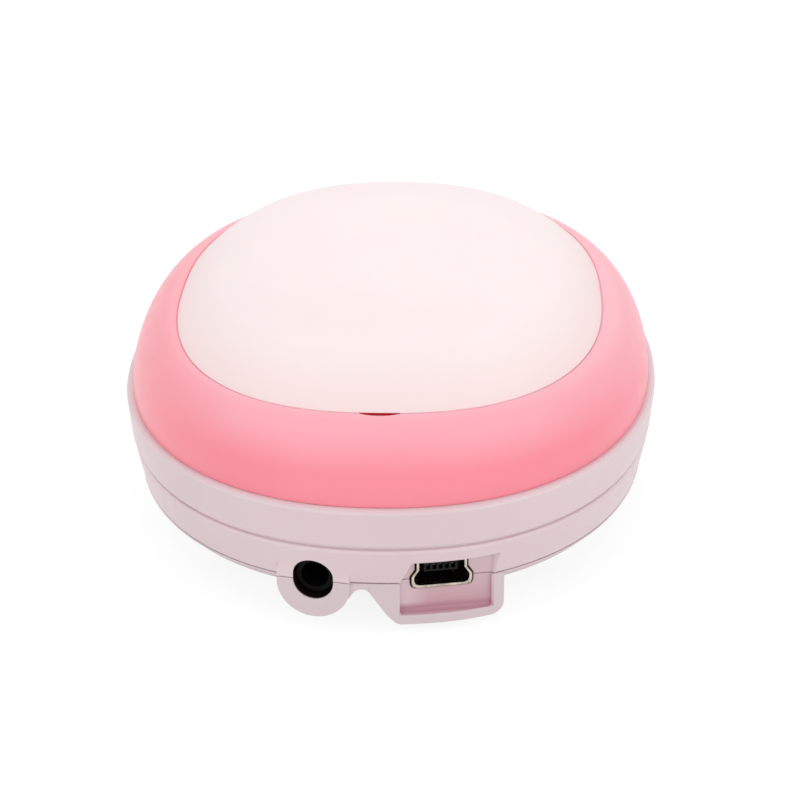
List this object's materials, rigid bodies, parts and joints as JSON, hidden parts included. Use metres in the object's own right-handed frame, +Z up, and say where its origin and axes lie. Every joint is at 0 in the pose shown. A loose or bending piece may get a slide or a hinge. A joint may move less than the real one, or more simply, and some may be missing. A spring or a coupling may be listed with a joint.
{
  "type": "fetal doppler monitor",
  "caption": "Pocket fetal doppler: white puck with a pink ring and a domed battery cover, probe face below, headphone jack and mini USB socket at the front.",
  "frame": {"origin": "middle of the flat probe face, on which the doppler rests, at the bottom of the whole part", "axes": "+X to the right and +Y to the back for a user who faces the two sockets, +Z up out of the battery cover"},
  "size_m": [0.0738, 0.0882, 0.0375],
  "materials": {
    "cover_white": "gloss",
    "ring_pink": "gloss",
    "shell_white": "satin",
    "base_white": "satin",
    "tray_white": "matte",
    "foam": "matte",
    "board_green": "satin",
    "jack_plastic": "satin",
    "socket_steel": "polished",
    "insert_black": "matte",
    "contact_gold": "polished",
    "battery_jacket": "gloss",
    "snap_black": "matte",
    "terminal_steel": "polished",
    "lead_black": "satin",
    "lead_red": "satin",
    "wheel_grey": "matte",
    "pot_steel": "satin",
    "lens_green": "clear",
    "led_white": "clear",
    "probe_white": "gloss",
    "seal_rubber": "matte",
    "crystal": "matte",
    "backing_resin": "matte",
    "can_brass": "satin",
    "coax_grey": "matte",
    "chip_black": "matte",
    "capacitor_metal": "satin",
    "screw_steel": "satin"
  },
  "bodies": {
    "housing": {"trim_ring": "ring_pink", "top_shell": "shell_white", "mid_shell": "shell_white", "bottom_shell": "base_white", "main_board": "board_green", "battery_tray": "tray_white", "headphone_jack": "jack_plastic", "usb_shell": "socket_steel", "usb_insert": "insert_black", "usb_contacts": "contact_gold", "battery_case": "battery_jacket", "battery_snap": "snap_black", "battery_stud": "terminal_steel", "battery_cup": "terminal_steel", "battery_lead_black": "lead_black", "battery_lead_red": "lead_red", "volume_pot": "pot_steel", "power_lamp_lens": "lens_green", "power_led": "led_white", "probe_face": "probe_white", "probe_seal": "seal_rubber", "crystal_transmit": "crystal", "crystal_receive": "crystal", "crystal_backing": "backing_resin", "probe_can": "can_brass", "probe_lead_receive": "coax_grey", "probe_lead_transmit": "coax_grey", "processor_chip": "chip_black", "amplifier_chip": "chip_black", "clock_chip": "pot_steel", "board_capacitors": "capacitor_metal", "housing_screws": "screw_steel"},
    "cover": {"battery_cover": "cover_white", "battery_foam_pad": "foam"},
    "wheel": {"volume_wheel": "wheel_grey"}
  },
  "joints": [
    {"name": "battery_cover_lift", "type": "slide", "parent": "housing", "child": "cover", "axis": [0, 0, 1], "range_m": [0, 0.04]},
    {"name": "volume_wheel_turn", "type": "hinge", "parent": "housing", "child": "wheel", "pos_m": [0, 0.0359, 0.0085], "axis": [0, 0, 1], "range_deg": [0, 300]}
  ]
}
